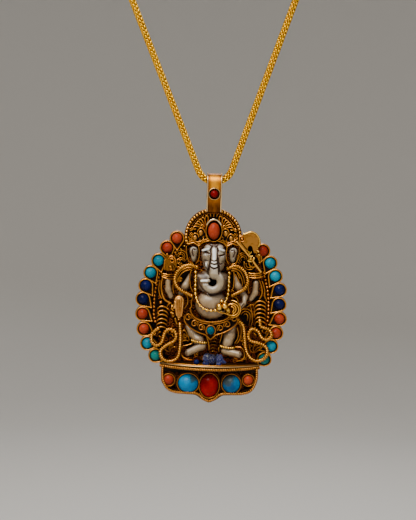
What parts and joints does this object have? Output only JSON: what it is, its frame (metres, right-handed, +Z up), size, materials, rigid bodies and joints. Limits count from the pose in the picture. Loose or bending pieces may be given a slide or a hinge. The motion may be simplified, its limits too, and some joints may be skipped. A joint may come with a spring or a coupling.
{
  "type": "pendant necklace with an elephant-headed figure",
  "caption": "Filigree pendant with an elephant-headed figure in carved bone, stone-set rim and base, hanging by a bail from a chain loop.",
  "frame": {"origin": "underside of the clasp, where the chain loop rests on the back of the neck", "axes": "+Z up along the hanging necklace, +X to the right seen from the front, +Y to the back"},
  "size_m": [0.1032, 0.0092, 0.2394],
  "materials": {
    "antique_gilt": "gilded silver, blackened in the hollows",
    "bright_gilt": "gilded, worn bright",
    "chain_gold": "polished gold plate",
    "bone": "carved bone, waxed, brown in the grooves",
    "coral": "polished coral cabochon",
    "deep_red_coral": "polished deep red cabochon",
    "turquoise": "polished turquoise cabochon",
    "lapis": "polished lapis"
  },
  "bodies": {
    "chain": {"chain": "chain_gold", "clasp": "chain_gold"},
    "pendant": {"anklet_left": "bright_gilt", "anklet_right": "bright_gilt", "arm_front_left": "bone", "arm_front_right": "bone", "arm_rear_left": "bone", "arm_rear_right": "bone", "axe": "bright_gilt", "bail": "bright_gilt", "bail_stone": "deep_red_coral", "base": "antique_gilt", "base_coral_left": "coral", "base_coral_right": "coral", "base_egg": "deep_red_coral", "base_turquoise_left": "turquoise", "base_turquoise_right": "turquoise", "crown": "antique_gilt", "crown_stone": "coral", "ear_left": "bone", "ear_right": "bone", "frame": "antique_gilt", "garland": "bright_gilt", "giving_hand": "bright_gilt", "head": "bone", "lapis_chip": "lapis", "ledge": "antique_gilt", "leg_left": "bone", "leg_right": "bone", "mouse": "lapis", "rear_emblem": "bright_gilt", "ribbon_left": "antique_gilt", "ribbon_right": "antique_gilt", "rim_coral_left_1": "coral", "rim_coral_left_2": "coral", "rim_coral_left_7": "coral", "rim_coral_left_8": "coral", "rim_coral_right_1": "coral", "rim_coral_right_2": "coral", "rim_coral_right_7": "coral", "rim_coral_right_8": "coral", "rim_lapis_left_5": "lapis", "rim_lapis_left_6": "lapis", "rim_lapis_right_5": "lapis", "rim_lapis_right_6": "lapis", "rim_turquoise_left_10": "turquoise", "rim_turquoise_left_3": "turquoise", "rim_turquoise_left_4": "turquoise", "rim_turquoise_left_9": "turquoise", "rim_turquoise_right_10": "turquoise", "rim_turquoise_right_3": "turquoise", "rim_turquoise_right_4": "turquoise", "rim_turquoise_right_9": "turquoise", "scroll_left": "antique_gilt", "scroll_right": "antique_gilt", "skirt": "antique_gilt", "skirt_stone": "turquoise", "sweet_bowl": "bright_gilt", "torso": "bone"}
  },
  "joints": [
    {"name": "pendant_swing", "type": "hinge", "parent": "chain", "child": "pendant", "pos_m": [0.00432, 0, -0.18352], "axis": [1, 0, 0], "range_deg": [-90, 90]}
  ]
}
